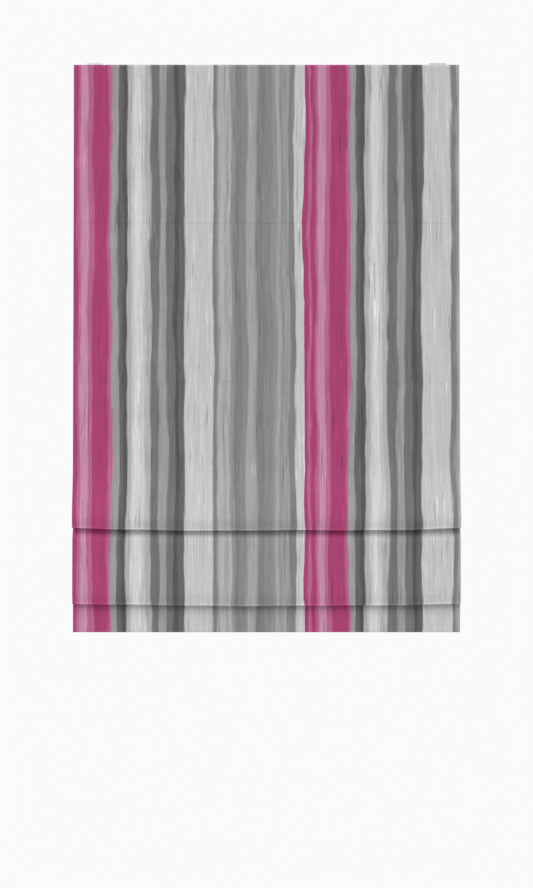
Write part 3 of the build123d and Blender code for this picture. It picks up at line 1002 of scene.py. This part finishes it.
def drawn_metal(name, colour, rough, axis, stretch):
    """Metal drawn or rolled along an axis: fine lines along it, and a cloudy oxide."""
    graph = new_graph(name)
    place = object_place(graph)
    scaled = [part * (along_grain if index == axis else across_grain)
              for index, part in enumerate(graph.parts(place))]
    fine = graph.noise(graph.point(*scaled), 1.0, stretch) - 0.5
    cloud = graph.noise(place, 55, 4.0, 0.6) - 0.5
    shaded = graph.shade(colour, 1.0 + fine * 0.25 + cloud * 0.22)
    return graph.surface(shaded, rough + fine * 0.2 + cloud * 0.12, fine, 0.02 * MM, {"Metallic": 1.0})


def wound_place(graph):
    """The place on a wound cord, where the braid crosses the turns: Z stands for round it, X for along."""
    x, y, z = graph.parts(object_place(graph))
    return z, x


def cord_braid(name, colour, place):
    """A braid: two families of strands that cross as they go round the cord. Its height is the larger of
    the sines of along plus around and along minus around."""
    graph = new_graph(name)
    around, along = place(graph)
    left = graph.math("SINE", (along + around) * strand_turns)
    right = graph.math("SINE", (along - around) * strand_turns)
    strand = graph.math("MAXIMUM", left, right)
    # Painted shade and highlight: the cord's colour is darker in the grooves between strands and lighter on
    # their crowns, following the braid's height.
    shaded = graph.shade(colour, 0.88 + strand * 0.1)
    return graph.surface(shaded, 0.75, strand, 0.08 * MM, {"Sheen Weight": 0.15})


def woven_tape():
    """Hook and loop tape: a fuzz of tiny loops on a woven ground."""
    graph = new_graph("woven_tape")
    place = object_place(graph)
    loops = graph.node("TexVoronoi", {"feature": "DISTANCE_TO_EDGE"}, {"Vector": place, "Scale": 900})
    # Painted shade: the tape's colour is darker along the cell edges, the grooves between its loops where
    # their height is lowest.
    shaded = graph.shade(linear(228, 227, 221), 0.8 + graph.step(loops, 0, 0.25) * 0.2)
    fuzz = loops + graph.noise(place, 1800) * 0.5
    return graph.surface(shaded, 0.92, fuzz, 0.25 * MM, {"Sheen Weight": 0.3})


def glass_fibre():
    """Pultruded rod: long glass threads under a thin resin skin."""
    graph = new_graph("glass_fibre")
    x, y, z = graph.parts(object_place(graph))
    threads = graph.noise(graph.point(x * 15, y * 3200, z * 3200), 1.0, 3.0) - 0.5
    shaded = graph.shade(linear(226, 226, 218), 1.0 + threads * 0.3)
    return graph.surface(shaded, 0.34 + threads * 0.2, threads, 0.04 * MM, {"Coat Weight": 0.3})


finishes = {
    "face_print": face_material,
    "lining_cloth": lining_material,
    "tape": woven_tape(),
    "rail_paint": painted_metal(),
    "white_plastic": moulded_plastic("white_plastic", linear(230, 230, 226), 0.42, 0.15),
    "zinc_steel": drawn_metal("zinc_steel", linear(196, 198, 200), 0.36, 1, 4.0),
    "shaft_aluminium": drawn_metal("shaft_aluminium", linear(205, 206, 208), 0.3, 0, 2.0),
    "grey_plastic": moulded_plastic("grey_plastic", linear(120, 122, 124), 0.5, 0.2),
    "spring_steel": drawn_metal("spring_steel", linear(120, 122, 128), 0.28, 0, 3.0),
    "nylon": moulded_plastic("nylon", linear(228, 224, 212), 0.35, 0.1),
    "cord": cord_braid("wound_cord", linear(230, 228, 219), wound_place),
    "rod_fibre": glass_fibre(),
    "clear_plastic": moulded_plastic("clear_plastic", linear(222, 224, 222), 0.2, 0.05),
    "bar_aluminium": drawn_metal("bar_aluminium", linear(208, 209, 211), 0.33, 0, 2.0),
}
print("finishes:", len(finishes))

# %% Give every piece its finish
cord_material = cord_braid("braided_cord", linear(232, 230, 222), cloth_place)
for piece in face_pieces + heading_rows:
    piece.data.materials.append(face_material)
for piece in lining_pieces + pocket_pieces + [hem_row]:
    piece.data.materials.append(lining_material)
for piece in cord_pieces:
    piece.data.materials.append(cord_material)

used = set()
for node_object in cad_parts.values():
    for slot in node_object.material_slots:
        slot_name = slot.material.name.split(".")[0]
        used.add(slot_name)
        slot.material = finishes[slot_name]
print("slots in use:", sorted(used))

# %% The pieces that go with each face sheet
for i in range(4):
    face_extra = [face_backs[i]] + (heading_rows if i == 0 else []) + ([face_flap] if i == 3 else [])

# %% [markdown]
# ## Stage, light and camera
#
# The blind hangs over a plain pale floor in soft light that comes mostly from the upper left, which puts
# a thin shadow below each fold. The camera looks straight on, and its lens is worked out from the length
# that one pixel of the picture stands for.

# %% Floor and surroundings
floor_z = -2.35
floor_side = 3.0
floor_far = 1.3
corners = np.array([[-floor_side, -floor_side, floor_z], [floor_side, -floor_side, floor_z],
                    [floor_side, floor_far, floor_z], [-floor_side, floor_far, floor_z]])
floor = mesh_piece("studio_floor", corners, np.array([[0, 1, 2, 3]]))
floor_graph = new_graph("floor_paint")
speckle = floor_graph.noise(object_place(floor_graph), 3.0, 3.0) - 0.5
floor_colour = floor_graph.shade(linear(222, 222, 222), 1.0 + speckle * 0.02)
floor.data.materials.append(floor_graph.surface(floor_colour, 0.9))

world = bpy.data.worlds.new("studio")
bpy.context.scene.world = world
studio = Graph(world)
rays = studio.node("LightPath").socket.node
camera_ray = Value(studio, rays.outputs["Is Camera Ray"])
glossy_ray = Value(studio, rays.outputs["Is Glossy Ray"])
seen = studio.math("MAXIMUM", camera_ray, glossy_ray)
ambient = studio.node("Background", {}, {"Color": (1.0, 1.0, 1.0, 1.0), "Strength": 0.5})
backdrop = studio.node("Background", {}, {"Color": linear(250, 250, 250), "Strength": 1.0})
sky = studio.node("MixShader", {}, {0: seen, 1: ambient, 2: backdrop})
studio.feed(studio.tree.nodes["World Output"].inputs["Surface"], sky)
print("floor", round(cloth_bottom - floor_z, 2), "m below the hem")


# %% Lamps
def lamp_towards(name, kind, place, target, power):
    """A lamp at a place that faces a target."""
    lamp = bpy.data.lights.new(name, kind)
    lamp.energy = power
    holder = bpy.data.objects.new(name, lamp)
    bpy.context.scene.collection.objects.link(holder)
    holder.location = place
    direction = np.array(target) - np.array(place)
    pitch = math.atan2(math.hypot(direction[0], direction[1]), -direction[2])
    holder.rotation_euler = (pitch, 0, math.atan2(direction[1], direction[0]) - math.pi / 2)
    return lamp


middle = (0.0, 0.0, (cloth_top + cloth_bottom) / 2)
key = lamp_towards("key_light", "SUN", (-1.5, -2.6, 3.0), middle, 2.2)
key.angle = math.radians(45)
fill = lamp_towards("fill_light", "AREA", (-1.8, -3.2, -0.4), middle, 12)
fill.size = 1.8
back = lamp_towards("back_light", "AREA", (0.8, 2.6, 0.8), middle, 55)
back.size = 1.8

# %% Camera
photo_width = 533
photo_height = 888
pixel = 2.335 * MM
centre_row = 444
cloth_top_row = 64.8
distance = 3.6

camera_data = bpy.data.cameras.new("camera")
camera_data.sensor_fit = "VERTICAL"
camera_data.sensor_height = 36.0
camera_data.lens = camera_data.sensor_height * distance / (photo_height * pixel)
camera = bpy.data.objects.new("camera", camera_data)
bpy.context.scene.collection.objects.link(camera)
camera.location = (0.0, flat_y - distance, cloth_top - (centre_row - cloth_top_row) * pixel)
camera.rotation_euler = (math.pi / 2, 0, 0)
bpy.context.scene.camera = camera
bpy.context.scene.view_settings.view_transform = "Standard"
print("lens:", round(camera_data.lens, 1), "mm, width of view:", round(photo_width * pixel, 3), "m")
